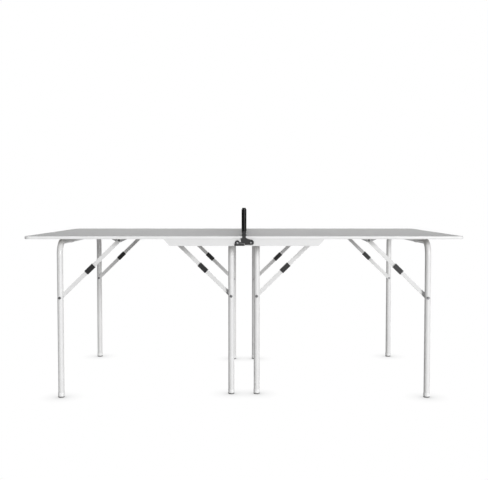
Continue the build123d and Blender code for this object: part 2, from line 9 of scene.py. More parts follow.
import logging
import math
from dataclasses import dataclass, field
from enum import Enum
from typing import Any

import bpy
import numpy as np
from bpy.types import Material, Node, NodeSocket, NodeTree, Object
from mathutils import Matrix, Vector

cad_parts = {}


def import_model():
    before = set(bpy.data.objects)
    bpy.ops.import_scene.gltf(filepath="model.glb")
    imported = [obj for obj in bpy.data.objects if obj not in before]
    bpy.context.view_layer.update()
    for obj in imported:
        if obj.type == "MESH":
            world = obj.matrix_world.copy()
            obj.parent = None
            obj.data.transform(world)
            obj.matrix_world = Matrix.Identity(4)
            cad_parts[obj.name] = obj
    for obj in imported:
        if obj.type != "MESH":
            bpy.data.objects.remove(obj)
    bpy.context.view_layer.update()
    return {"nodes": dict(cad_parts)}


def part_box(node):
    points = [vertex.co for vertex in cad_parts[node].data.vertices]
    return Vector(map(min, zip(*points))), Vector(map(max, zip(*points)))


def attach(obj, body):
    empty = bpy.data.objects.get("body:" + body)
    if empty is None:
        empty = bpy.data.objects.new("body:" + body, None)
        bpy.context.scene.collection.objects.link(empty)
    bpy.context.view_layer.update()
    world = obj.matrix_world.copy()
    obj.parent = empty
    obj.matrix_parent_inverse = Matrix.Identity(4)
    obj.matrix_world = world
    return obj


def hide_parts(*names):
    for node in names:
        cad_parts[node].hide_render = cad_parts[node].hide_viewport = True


LOG = logging.getLogger("table")
MM = 0.001
NOISE_SPAN = (0.3, 0.7)  # most of a noise's values lie between these


class Half(Enum):
    """The two half tables."""

    LEFT = "left"
    RIGHT = "right"


class Leg(Enum):
    """The two leg frames of a half table."""

    OUTER = "outer"
    INNER = "inner"


class Side(Enum):
    """The two long sides of the table."""

    NEAR = "near"
    FAR = "far"


# -------------------- colour and nodes


def linear(code: str) -> tuple[float, float, float, float]:
    """Turns an sRGB hex value into a linear colour.

    Args:
        code: The colour as "#RRGGBB".

    Returns:
        Linear red, green and blue, and an alpha of 1.
    """
    parts = [int(code[k:k + 2], 16) / 255 for k in (1, 3, 5)]
    red, green, blue = (c / 12.92 if c <= 0.04045 else ((c + 0.055) / 1.055) ** 2.4 for c in parts)
    return (red, green, blue, 1.0)


def add_node(tree: NodeTree, kind: str, values: dict[Any, Any] | None = None,
             links: dict[Any, NodeSocket] | None = None, **settings: Any) -> Node:
    """Adds one node with its settings, input values and links.

    Args:
        tree: The node tree that gets the node.
        kind: The node's type name.
        values: Input name or number to its value.
        links: Input name or number to the output that feeds it.
        **settings: The node's own attributes.

    Returns:
        The new node.
    """
    node = tree.nodes.new(kind)
    for key, value in settings.items():
        setattr(node, key, value)
    for key, value in (values or {}).items():
        node.inputs[key].default_value = value
    for key, source in (links or {}).items():
        tree.links.new(source, node.inputs[key])
    return node


def per_metre(size_mm: float) -> float:
    """The texture scale at which one feature of a pattern measures size_mm."""
    return 1.0 / (size_mm * MM)


# -------------------- finishes


@dataclass(frozen=True)
class Finish:
    """One finish: a name, a base colour and a roughness, painted with nodes by its subclass."""

    name: str
    colour: str
    roughness: float

    def material(self) -> Material:
        """Makes the material.

        Returns:
            A material whose Principled shader carries this finish.
        """
        made = bpy.data.materials.new(self.name)
        made.use_nodes = True
        tree = made.node_tree
        shader = tree.nodes["Principled BSDF"]
        shader.inputs["Base Color"].default_value = linear(self.colour)
        shader.inputs["Roughness"].default_value = self.roughness
        coordinates = add_node(tree, "ShaderNodeTexCoord")
        self.paint(tree, shader, coordinates)
        return made

    def paint(self, tree: NodeTree, shader: Node, coordinates: Node) -> None:
        """Adds the finish's pattern.

        Args:
            tree: The material's node tree.
            shader: Its Principled shader.
            coordinates: Its texture coordinates.
        """
        raise NotImplementedError

    def roughen(self, tree: NodeTree, shader: Node, patches: NodeSocket, spread: tuple[float, float],
                relief: NodeSocket, deep_mm: float, span: tuple[float, float] = NOISE_SPAN) -> None:
        """Varies the gloss with one pattern and raises the surface with another.

        Args:
            tree: The material's node tree.
            shader: Its Principled shader.
            patches: The pattern that varies the roughness.
            spread: How far the roughness falls below its middle value and rises above it.
            relief: The pattern that raises the surface.
            deep_mm: The depth of the relief.
            span: The values of patches that give the lowest and the highest roughness.
        """
        gloss = add_node(tree, "ShaderNodeMapRange",
                         {"From Min": span[0], "From Max": span[1], "To Min": self.roughness - spread[0],
                          "To Max": self.roughness + spread[1]}, {"Value": patches})
        tree.links.new(gloss.outputs["Result"], shader.inputs["Roughness"])
        bump = add_node(tree, "ShaderNodeBump", {"Distance": deep_mm * MM}, {"Height": relief})
        tree.links.new(bump.outputs["Normal"], shader.inputs["Normal"])


@dataclass(frozen=True)
class PowderCoat(Finish):
    """Polyester powder baked on steel: an even satin film with a shallow orange peel.

    The eye sees soft highlights that waver by a hair, and a film a shade thinner in places.
    """

    thin_colour: str = "#D4D4D4"
    peel_mm: float = 2.4
    peel_deep_mm: float = 0.045
    cloud_mm: float = 70.0
    rub_top_mm: float = 0.0
    rub_colour: str = "#B4B4B4"
    scuff_mm: float = 3.0
    scuff_squash: float = 0.22

    def paint(self, tree: NodeTree, shader: Node, coordinates: Node) -> None:
        """Clouds the film, roughens it in patches, adds orange peel and rubs near the floor."""
        place = coordinates.outputs["Object"]
        cloud = add_node(tree, "ShaderNodeTexNoise",
                         {"Scale": per_metre(self.cloud_mm), "Detail": 3.0}, {"Vector": place})
        thin = add_node(tree, "ShaderNodeMapRange", {"From Min": 0.35, "From Max": 0.75, "To Max": 0.35},
                        {"Value": cloud.outputs["Fac"]})
        film = add_node(tree, "ShaderNodeMix", {6: linear(self.colour), 7: linear(self.thin_colour)},
                        {0: thin.outputs["Result"]}, data_type="RGBA")
        colour = film.outputs[2]
        if self.rub_top_mm:
            colour = self.rubbed(tree, place, colour)
        tree.links.new(colour, shader.inputs["Base Color"])
        peel = add_node(tree, "ShaderNodeTexNoise",
                        {"Scale": per_metre(self.peel_mm), "Detail": 2.0, "Roughness": 0.45},
                        {"Vector": place})
        self.roughen(tree, shader, cloud.outputs["Fac"], (0.05, 0.07), peel.outputs["Fac"],
                     self.peel_deep_mm)

    def rubbed(self, tree: NodeTree, place: NodeSocket, colour: NodeSocket) -> NodeSocket:
        """Short upright scuffs on the lowest part of a leg.

        Args:
            tree: The material's node tree.
            place: Object coordinates.
            colour: The unrubbed colour.

        Returns:
            The colour with scuffs.
        """
        height = add_node(tree, "ShaderNodeSeparateXYZ", links={0: place})
        low = add_node(tree, "ShaderNodeMapRange",
                       {"From Min": 0.0, "From Max": self.rub_top_mm * MM, "To Min": 1.0, "To Max": 0.0},
                       {"Value": height.outputs["Z"]})
        stretched = add_node(tree, "ShaderNodeMapping", {"Scale": (1.0, 1.0, self.scuff_squash)},
                             {"Vector": place})
        streak = add_node(tree, "ShaderNodeTexNoise", {"Scale": per_metre(self.scuff_mm), "Detail": 4.0},
                          {"Vector": stretched.outputs["Vector"]})
        sharp = add_node(tree, "ShaderNodeMapRange", {"From Min": 0.6, "From Max": 0.72},
                         {"Value": streak.outputs["Fac"]})
        amount = add_node(tree, "ShaderNodeMath", operation="MULTIPLY",
                          links={0: low.outputs["Result"], 1: sharp.outputs["Result"]})
        mixed = add_node(tree, "ShaderNodeMix", {7: linear(self.rub_colour)},
                         {0: amount.outputs["Value"], 6: colour}, data_type="RGBA")
        return mixed.outputs[2]


@dataclass(frozen=True)
class CoatedBoard(Finish):
    """Particle board with a rolled matt grey lacquer on top and pale backing paper underneath.

    The eye sees an even grey with a fine pearl grain, and faint fibres on the underside.
    """

    split_z: float = 0.0
    grain_colour: str = "#A7A7A7"
    backing: str = "#C9C7C1"
    fibre: str = "#B4B1AA"
    pearl_mm: float = 1.1
    pearl_deep_mm: float = 0.03
    cloud_mm: float = 180.0
    fibre_mm: float = 6.0

    def paint(self, tree: NodeTree, shader: Node, coordinates: Node) -> None:
        """Grains the top, fibres the underside and splits the two at the board's middle."""
        place = coordinates.outputs["Object"]
        pearl = add_node(tree, "ShaderNodeTexNoise",
                         {"Scale": per_metre(self.pearl_mm), "Detail": 3.0}, {"Vector": place})
        cloud = add_node(tree, "ShaderNodeTexNoise", {"Scale": per_metre(self.cloud_mm), "Detail": 2.0},
                         {"Vector": place})
        speck = add_node(tree, "ShaderNodeMath", {2: -0.12},
                         {0: pearl.outputs["Fac"], 1: cloud.outputs["Fac"]}, operation="MULTIPLY_ADD")
        top = add_node(tree, "ShaderNodeMix", {6: linear(self.colour), 7: linear(self.grain_colour)},
                       {0: speck.outputs["Value"]}, data_type="RGBA")
        along = add_node(tree, "ShaderNodeMapping", {"Scale": (0.15, 1.0, 1.0)}, {"Vector": place})
        strand = add_node(tree, "ShaderNodeTexNoise",
                          {"Scale": per_metre(self.fibre_mm), "Detail": 5.0, "Roughness": 0.6},
                          {"Vector": along.outputs["Vector"]})
        paper = add_node(tree, "ShaderNodeMix", {6: linear(self.backing), 7: linear(self.fibre)},
                         {0: strand.outputs["Fac"]}, data_type="RGBA")
        height = add_node(tree, "ShaderNodeSeparateXYZ", links={0: place})
        above = add_node(tree, "ShaderNodeMath", {1: self.split_z}, {0: height.outputs["Z"]},
                         operation="GREATER_THAN")
        colour = add_node(tree, "ShaderNodeMix", data_type="RGBA",
                          links={0: above.outputs["Value"], 6: paper.outputs[2], 7: top.outputs[2]})
        tree.links.new(colour.outputs[2], shader.inputs["Base Color"])
        self.roughen(tree, shader, cloud.outputs["Fac"], (0.01, 0.015), pearl.outputs["Fac"],
                     self.pearl_deep_mm)


@dataclass(frozen=True)
class ExtrudedBand(Finish):
    """Extruded edge banding: smooth pale plastic with faint die lines along its length."""

    line_colour: str = "#DCDCDC"
    line_mm: float = 0.9
    line_deep_mm: float = 0.03
    line_stretch: float = 0.0004
    patch_mm: float = 55.0

    def paint(self, tree: NodeTree, shader: Node, coordinates: Node) -> None:
        """Draws lines that vary only with height, since the band runs level round the board."""
        place = coordinates.outputs["Object"]
        level = add_node(tree, "ShaderNodeMapping",
                         {"Scale": (self.line_stretch, self.line_stretch, 1.0)}, {"Vector": place})
        lines = add_node(tree, "ShaderNodeTexNoise", {"Scale": per_metre(self.line_mm), "Detail": 3.0},
                         {"Vector": level.outputs["Vector"]})
        patch = add_node(tree, "ShaderNodeTexNoise", {"Scale": per_metre(self.patch_mm), "Detail": 3.0},
                         {"Vector": place})
        amount = add_node(tree, "ShaderNodeMapRange", {"From Min": 0.4, "From Max": 0.8, "To Max": 0.5},
                          {"Value": lines.outputs["Fac"]})
        colour = add_node(tree, "ShaderNodeMix", {6: linear(self.colour), 7: linear(self.line_colour)},
                          {0: amount.outputs["Result"]}, data_type="RGBA")
        tree.links.new(colour.outputs[2], shader.inputs["Base Color"])
        self.roughen(tree, shader, patch.outputs["Fac"], (0.06, 0.08), lines.outputs["Fac"],
                     self.line_deep_mm)


@dataclass(frozen=True)
class ZincPlate(Finish):
    """Electroplated zinc on pressed or headed steel: cool grey, half matt, with a cloudy passivation."""

    cloud_colour: str = "#B4B4B6"
    crystal_mm: float = 0.8
    cloud_mm: float = 7.0
    pit_deep_mm: float = 0.02

    def paint(self, tree: NodeTree, shader: Node, coordinates: Node) -> None:
        """Clouds the colour and varies the gloss from crystal to crystal."""
        place = coordinates.outputs["Object"]
        shader.inputs["Metallic"].default_value = 1.0
        cloud = add_node(tree, "ShaderNodeTexNoise", {"Scale": per_metre(self.cloud_mm), "Detail": 4.0},
                         {"Vector": place})
        colour = add_node(tree, "ShaderNodeMix", {6: linear(self.colour), 7: linear(self.cloud_colour)},
                          {0: cloud.outputs["Fac"]}, data_type="RGBA")
        tree.links.new(colour.outputs[2], shader.inputs["Base Color"])
        crystal = add_node(tree, "ShaderNodeTexVoronoi", {"Scale": per_metre(self.crystal_mm)},
                           {"Vector": place})
        shade = add_node(tree, "ShaderNodeSeparateColor", links={0: crystal.outputs["Color"]})
        self.roughen(tree, shader, shade.outputs[0], (0.06, 0.1), cloud.outputs["Fac"],
                     self.pit_deep_mm, span=(0.0, 1.0))


@dataclass(frozen=True)
class MouldedPlastic(Finish):
    """Injection-moulded plastic with a spark-eroded mould grain and a slightly glossier film in patches."""

    grain_colour: str = "#202123"
    grain_mm: float = 0.7
    grain_deep_mm: float = 0.035
    flow_mm: float = 16.0
    low_band_colour: str = ""
    low_band_top_mm: float = 0.0
    shine: float = 0.5

    def paint(self, tree: NodeTree, shader: Node, coordinates: Node) -> None:
        """Grains the surface; below a set height a darker grey takes over."""
        shader.inputs["Specular IOR Level"].default_value = self.shine
        place = coordinates.outputs["Object"]
        grain = add_node(tree, "ShaderNodeTexNoise",
                         {"Scale": per_metre(self.grain_mm), "Detail": 2.0, "Roughness": 0.6},
                         {"Vector": place})
        flow = add_node(tree, "ShaderNodeTexNoise", {"Scale": per_metre(self.flow_mm), "Detail": 3.0},
                        {"Vector": place})
        colour = add_node(tree, "ShaderNodeMix", {6: linear(self.colour), 7: linear(self.grain_colour)},
                          {0: grain.outputs["Fac"]}, data_type="RGBA").outputs[2]
        # the lowest few millimetres, up to the given height, turn a darker grey
        if self.low_band_colour:
            height = add_node(tree, "ShaderNodeSeparateXYZ", links={0: place})
            low = add_node(tree, "ShaderNodeMath", {1: self.low_band_top_mm * MM},
                           {0: height.outputs["Z"]}, operation="LESS_THAN")
            colour = add_node(tree, "ShaderNodeMix", {7: linear(self.low_band_colour)},
                              {0: low.outputs["Value"], 6: colour}, data_type="RGBA").outputs[2]
        tree.links.new(colour, shader.inputs["Base Color"])
        self.roughen(tree, shader, flow.outputs["Fac"], (0.05, 0.08), grain.outputs["Fac"],
                     self.grain_deep_mm)


@dataclass(frozen=True)
class TwistedCord(Finish):
    """Twisted polyester twine: two plies that wind round each other, with a slight sheen."""

    valley_shade_colour: str = "#07080A"
    lay_mm: float = 2.6
    ply_deep_mm: float = 0.12
    girth_mm: float = 3.8

    def paint(self, tree: NodeTree, shader: Node, coordinates: Node) -> None:
        """Stripes the strand along u plus v, so that the plies climb round it, and paints shade into the
        valleys between the plies.
        """
        shader.inputs["Sheen Weight"].default_value = 0.25
        split = add_node(tree, "ShaderNodeSeparateXYZ", links={0: coordinates.outputs["UV"]})
        turn = add_node(tree, "ShaderNodeMath", {1: self.lay_mm / self.girth_mm},
                        {0: split.outputs["Y"], 2: split.outputs["X"]}, operation="MULTIPLY_ADD")
        phase = add_node(tree, "ShaderNodeMath", {1: math.tau * per_metre(self.lay_mm)},
                         {0: turn.outputs["Value"]}, operation="MULTIPLY")
        wave = add_node(tree, "ShaderNodeMath", links={0: phase.outputs["Value"]}, operation="SINE")
        ply = add_node(tree, "ShaderNodeMath", links={0: wave.outputs["Value"]}, operation="ABSOLUTE")
        # painted shade: in the valleys between the plies the colour falls to the darker valley colour
        colour = add_node(tree, "ShaderNodeMix", {6: linear(self.valley_shade_colour), 7: linear(self.colour)},
                          {0: ply.outputs["Value"]}, data_type="RGBA")
        tree.links.new(colour.outputs[2], shader.inputs["Base Color"])
        bump = add_node(tree, "ShaderNodeBump", {"Distance": self.ply_deep_mm * MM},
                        {"Height": ply.outputs["Value"]})
        tree.links.new(bump.outputs["Normal"], shader.inputs["Normal"])


@dataclass(frozen=True)
class WovenTape(Finish):
    """Plain-woven cotton tape: matt threads over and under, a touch uneven in tone, and painted darker
    where the threads dip under, as shade.

    The real threads are 0.3 mm; they are drawn at thread_mm so that the weave shows.
    """

    shade_colour: str = "#C9C6BC"
    thread_mm: float = 0.8
    thread_deep_mm: float = 0.12
    slub_mm: float = 5.0

    def paint(self, tree: NodeTree, shader: Node, coordinates: Node) -> None:
        """Weaves sine of u times sine of v, with slubs from a noise; where the threads dip under they are
        painted darker, as shade.
        """
        shader.inputs["Sheen Weight"].default_value = 0.3
        split = add_node(tree, "ShaderNodeSeparateXYZ", links={0: coordinates.outputs["UV"]})
        waves = []
        for axis in ("X", "Y"):
            phase = add_node(tree, "ShaderNodeMath", {1: math.pi * per_metre(self.thread_mm)},
                             {0: split.outputs[axis]}, operation="MULTIPLY")
            waves.append(add_node(tree, "ShaderNodeMath", links={0: phase.outputs["Value"]},
                                  operation="SINE").outputs["Value"])
        weave = add_node(tree, "ShaderNodeMath", links={0: waves[0], 1: waves[1]},
                         operation="MULTIPLY")
        high = add_node(tree, "ShaderNodeMath", {1: 0.5, 2: 0.5}, {0: weave.outputs["Value"]},
                        operation="MULTIPLY_ADD")
        slub = add_node(tree, "ShaderNodeTexNoise", {"Scale": per_metre(self.slub_mm), "Detail": 3.0},
                        {"Vector": coordinates.outputs["Object"]})
        # painted shade: where the threads dip under, the colour falls to the shade colour; the slubs vary
        # the raised threads at random
        tone = add_node(tree, "ShaderNodeMath", {2: 0.2},
                        {0: high.outputs["Value"], 1: slub.outputs["Fac"]}, operation="MULTIPLY_ADD")
        colour = add_node(tree, "ShaderNodeMix", {6: linear(self.shade_colour), 7: linear(self.colour)},
                          {0: tone.outputs["Value"]}, data_type="RGBA")
        tree.links.new(colour.outputs[2], shader.inputs["Base Color"])
        bump = add_node(tree, "ShaderNodeBump", {"Distance": self.thread_deep_mm * MM},
                        {"Height": high.outputs["Value"]})
        tree.links.new(bump.outputs["Normal"], shader.inputs["Normal"])


# -------------------- surfaces


@dataclass
class Surface:
    """Points, faces of four corners with their map places, and the rings that close its ends."""

    points: np.ndarray
    quads: np.ndarray
    places: np.ndarray
    rings: list[list[int]] = field(default_factory=list)

    def turned_out(self) -> "Surface":
        """Points the faces outwards.

        The sign of the enclosed volume, the sum over faces of corner a dot (b cross c) and of
        a dot (c cross d), tells whether they point inwards; the ends' rings turn with the faces.

        Returns:
            The same surface, turned if it has to be.
        """
        a, b, c, d = (self.points[self.quads[:, k]] for k in range(4))
        volume = np.sum(a * np.cross(b, c)) + np.sum(a * np.cross(c, d))
        if volume >= 0:
            return self
        return Surface(self.points, self.quads[:, ::-1], self.places[:, ::-1],
                       [ring[::-1] for ring in self.rings])

    def object(self, name: str, material: Material) -> Object:
        """Puts the surface into a new smooth mesh object.

        Args:
            name: The piece's name.
            material: Its finish.

        Returns:
            The linked object, at the origin.
        """
        mesh = bpy.data.meshes.new(name)
        mesh.from_pydata(self.points.tolist(), [], self.quads.tolist() + self.rings)
        layer = mesh.uv_layers.new(name="UVMap")
        flat = np.zeros((len(mesh.loops), 2), np.float32)
        flat[:self.places.shape[0] * 4] = self.places.reshape(-1, 2)
        layer.data.foreach_set("uv", flat.ravel())
        mesh.shade_smooth()
        mesh.materials.append(material)
        made = bpy.data.objects.new(name, mesh)
        bpy.context.scene.collection.objects.link(made)
        return made


def joined(parts: list[Surface]) -> Surface:
    """Joins surfaces into one, with each one's face numbers moved past those before it.

    Args:
        parts: The surfaces.

    Returns:
        One surface that holds them all.
    """
    starts = np.cumsum([0] + [len(part.points) for part in parts[:-1]])
    rings = [[int(k + start) for k in ring] for part, start in zip(parts, starts) for ring in part.rings]
    return Surface(
        np.concatenate([part.points for part in parts]),
        np.concatenate([part.quads + start for part, start in zip(parts, starts)]),
        np.concatenate([part.places for part in parts]),
        rings,
    )


def strands(paths: np.ndarray, radius: np.ndarray, across: np.ndarray, up: np.ndarray,
            facets: int) -> Surface:
    """Many round strands at once.

    A point of a strand is its path's point plus radius times (cos t across + sin t up), with t
    going round in even steps. The map's u is the length along the strand and v the way round it.

    Args:
        paths: Centre lines, as (strand, station, xyz).
        radius: Radius at each station, as (strand, station).
        across: Unit vector across the strands.
        up: Unit vector across the strands and across the first.
        facets: Number of sides of a strand.

    Returns:
        The closed surface of all the strands.
    """
    count, stations, _ = paths.shape
    turn = np.arange(facets) * math.tau / facets
    ring = np.cos(turn)[:, None] * across + np.sin(turn)[:, None] * up
    points = paths[:, :, None, :] + radius[:, :, None, None] * ring[None, None]
    number = np.arange(count * stations * facets).reshape(count, stations, facets)
    on = np.roll(number, -1, axis=2)
    quads = np.stack([number[:, :-1], on[:, :-1], on[:, 1:], number[:, 1:]], axis=-1).reshape(-1, 4)
    steps = np.linalg.norm(np.diff(paths, axis=1), axis=2)
    along = np.concatenate([np.zeros((count, 1)), np.cumsum(steps, axis=1)], axis=1)
    girth = float(radius.mean()) * math.tau / facets
    u = np.repeat(along[:, :, None], facets, axis=2)
    v = np.broadcast_to(np.arange(facets) * girth, u.shape)
    corners = [(u[:, :-1], v[:, :-1]), (u[:, :-1], v[:, :-1] + girth),
               (u[:, 1:], v[:, 1:] + girth), (u[:, 1:], v[:, 1:])]
    places = np.stack([np.stack(corner, axis=-1) for corner in corners], axis=-2).reshape(-1, 4, 2)
    rings = number[:, 0, ::-1].tolist() + number[:, -1].tolist()
    return Surface(points.reshape(-1, 3), quads, places, rings).turned_out()


def folded_strip(outer: np.ndarray, inner: np.ndarray, run: np.ndarray, axes: tuple[int, int, int],
                 ripple: np.ndarray) -> Surface:
    """A strip of cloth folded lengthways over an edge and carried along a straight run.

    Station k is the fold's outline, outer face one way and inner face back, at run[k] along the
    third axis, moved across the fold by ripple[k]. Both ends are closed between the two faces.

    Args:
        outer: Outer face of the fold, as (point, 2), from one hem to the other.
        inner: Inner face, point for point beneath the outer one.
        run: Places along the run.
        axes: World axis of the outline's first value, of its second, and of the run.
        ripple: Sideways shift of each station.

    Returns:
        The closed strip.
    """
    outline = np.concatenate([outer, inner[::-1]])
    count, stations = len(outline), len(run)
    points = np.zeros((stations, count, 3))
    points[:, :, axes[0]] = outline[None, :, 0] + ripple[:, None]
    points[:, :, axes[1]] = outline[None, :, 1]
    points[:, :, axes[2]] = run[:, None]
    number = np.arange(stations * count).reshape(stations, count)
    on = np.roll(number, -1, axis=1)
    walls = np.stack([number[:-1], on[:-1], on[1:], number[1:]], axis=-1).reshape(-1, 4)
    half = len(outer)
    rail = np.arange(half - 1)
    end = np.stack([rail + 1, rail, count - 1 - rail, count - 2 - rail], axis=-1)
    far = end[:, ::-1] + (stations - 1) * count
    across = np.concatenate([[0], np.cumsum(np.linalg.norm(np.diff(outline, axis=0), axis=1))])
    beyond = np.append(across[1:], across[-1])
    u0, u1 = run[:-1, None] + 0 * across[None], run[1:, None] + 0 * across[None]
    v0, v1 = across[None] + 0 * run[:-1, None], beyond[None] + 0 * run[:-1, None]
    places = np.stack([np.stack([u0, v0], -1), np.stack([u0, v1], -1), np.stack([u1, v1], -1),
                       np.stack([u1, v0], -1)], axis=-2).reshape(-1, 4, 2)
    ends = np.zeros((2 * len(end), 4, 2))
    return Surface(points.reshape(-1, 3), np.concatenate([walls, end, far]),
                   np.concatenate([places, ends])).turned_out()


def stitch_row(starts: np.ndarray, way: np.ndarray, out: np.ndarray, long: float,
               radius: float) -> Surface:
    """A row of lockstitches: short round threads that rise from the cloth and dip back into it.

    Each stitch runs from its start along way. Its middle lies on the cloth and its ends are sunk
    by its radius, so its height above the cloth goes as one minus the fourth power of the place.

    Args:
        starts: Where each stitch begins, on the cloth, as (stitch, xyz).
        way: Unit vector along the row.
        out: Unit vector out of the cloth.
        long: Length of a stitch.
        radius: Radius of the thread.

    Returns:
        The closed surface of the row.
    """
    share = np.array([-1.0, -0.8, -0.35, 0.35, 0.8, 1.0])
    sunk = (1.0 - share**4) * 1.2 * radius - 0.9 * radius
    line = starts[:, None] + (share[None, :, None] + 1) / 2 * long * way + sunk[None, :, None] * out
    thick = radius * np.array([0.45, 0.85, 1.0, 1.0, 0.85, 0.45])
    return strands(line, np.broadcast_to(thick, line.shape[:2]), out, np.cross(way, out), 6)


# -------------------- sub-assemblies


class Finishes:
    """Every finish of the table, made once and shared."""

    def __init__(self) -> None:
        """Makes the materials; the board's two faces part at the middle of its thickness."""
        low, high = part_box("left_playing_board")
        self.board = CoatedBoard("particle_board_rolled_lacquer", "#B2B2B2", 0.62,
                                 split_z=(low.z + high.z) / 2).material()
        self.band = ExtrudedBand("edge_band_extruded_abs", "#E7E7E7", 0.42).material()
        self.apron = PowderCoat("apron_steel_powder_coated", "#E0E0E0", 0.4,
                                thin_colour="#D8D8D8").material()
        self.tube = PowderCoat("leg_tube_powder_coated", "#E2E2E2", 0.32, rub_top_mm=70.0).material()
        self.link = PowderCoat("brace_strip_powder_coated", "#DFDFDF", 0.36).material()
        self.zinc = ZincPlate("pressed_steel_zinc_plated", "#A8A8AA", 0.42,
                              cloud_colour="#CCCCCE").material()
        self.rivet = ZincPlate("headed_steel_zinc_plated", "#747476", 0.4,
                               cloud_colour="#929294", cloud_mm=3.0).material()
        self.foot = MouldedPlastic("foot_polyethylene_moulded", "#EFEFEF", 0.45,
                                   grain_colour="#E6E6E6", low_band_colour="#7C7C7C",
                                   low_band_top_mm=6.5).material()
        self.sleeve = MouldedPlastic("sleeve_polypropylene_moulded", "#2B2B2C", 0.4,
                                     grain_colour="#1E1E1F").material()
        self.clamp = MouldedPlastic("clamp_glass_filled_nylon_moulded", "#1F1F20", 0.42,
                                    grain_colour="#303031", grain_mm=0.9).material()
        self.post = MouldedPlastic("post_rubber_sleeved_steel", "#050505", 0.42,
                                   grain_colour="#0A0A0A", shine=0.22).material()
        self.twine = TwistedCord("net_polyester_twisted", "#1B1D21", 0.6).material()
        self.tape = WovenTape("net_tape_cotton_woven", "#ECEAE3", 0.85).material()
        # the thread's darker valley colour is painted shade between its plies
        self.thread = TwistedCord("sewing_thread_polyester_twisted", "#F2F0EA", 0.55,
                                  valley_shade_colour="#B9B6AC", lay_mm=0.9, ply_deep_mm=0.05,
                                  girth_mm=1.5).material()


def dress(nodes: dict[str, Object], name: str, material: Material) -> None:
    """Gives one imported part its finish.

    Args:
        nodes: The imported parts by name.
        name: The part to dress.
        material: Its finish.
    """
    part = nodes[name]
    for slot in part.material_slots:
        slot.material = material
    LOG.info("%s: %s", name, material.name)


@dataclass
class LegFrame:
    """One folding leg frame with its two braces, as packed; this class only dresses it."""

    half: Half
    leg: Leg

    def dress(self, nodes: dict[str, Object], finishes: Finishes) -> None:
        """Finishes the tube, caps, links, rivets and sleeves.

        Args:
            nodes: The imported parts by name.
            finishes: The table's finishes.
        """
        start = f"{self.half.value}_{self.leg.value}_"
        worn = {
            "leg_frame": finishes.tube,
            "foot_caps": finishes.foot,
            "leg_rivets": finishes.rivet,
            "upper_links": finishes.link,
            "lower_links": finishes.link,
            "knee_rivets": finishes.rivet,
            "link_rivets": finishes.rivet,
        }
        worn.update({f"{side.value}_sleeve": finishes.sleeve for side in Side})
        for part, material in worn.items():
            dress(nodes, start + part, material)


@dataclass
class HalfTable:
    """One half table: board, band, aprons and the steel screwed under them."""

    half: Half

    def dress(self, nodes: dict[str, Object], finishes: Finishes) -> None:
        """Finishes the parts that stay with the half table.

        Args:
            nodes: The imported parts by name.
            finishes: The table's finishes.
        """
        worn = {
            "playing_board": finishes.board,
            "edge_band": finishes.band,
            "side_aprons": finishes.apron,
            "tube_saddles": finishes.tube,
            "brace_brackets": finishes.zinc,
            "bracket_rivets": finishes.rivet,
            "wood_screws": finishes.zinc,
            "net_pins": finishes.zinc,
        }
        for part, material in worn.items():
            dress(nodes, f"{self.half.value}_{part}", material)
        for leg in Leg:
            LegFrame(self.half, leg).dress(nodes, finishes)


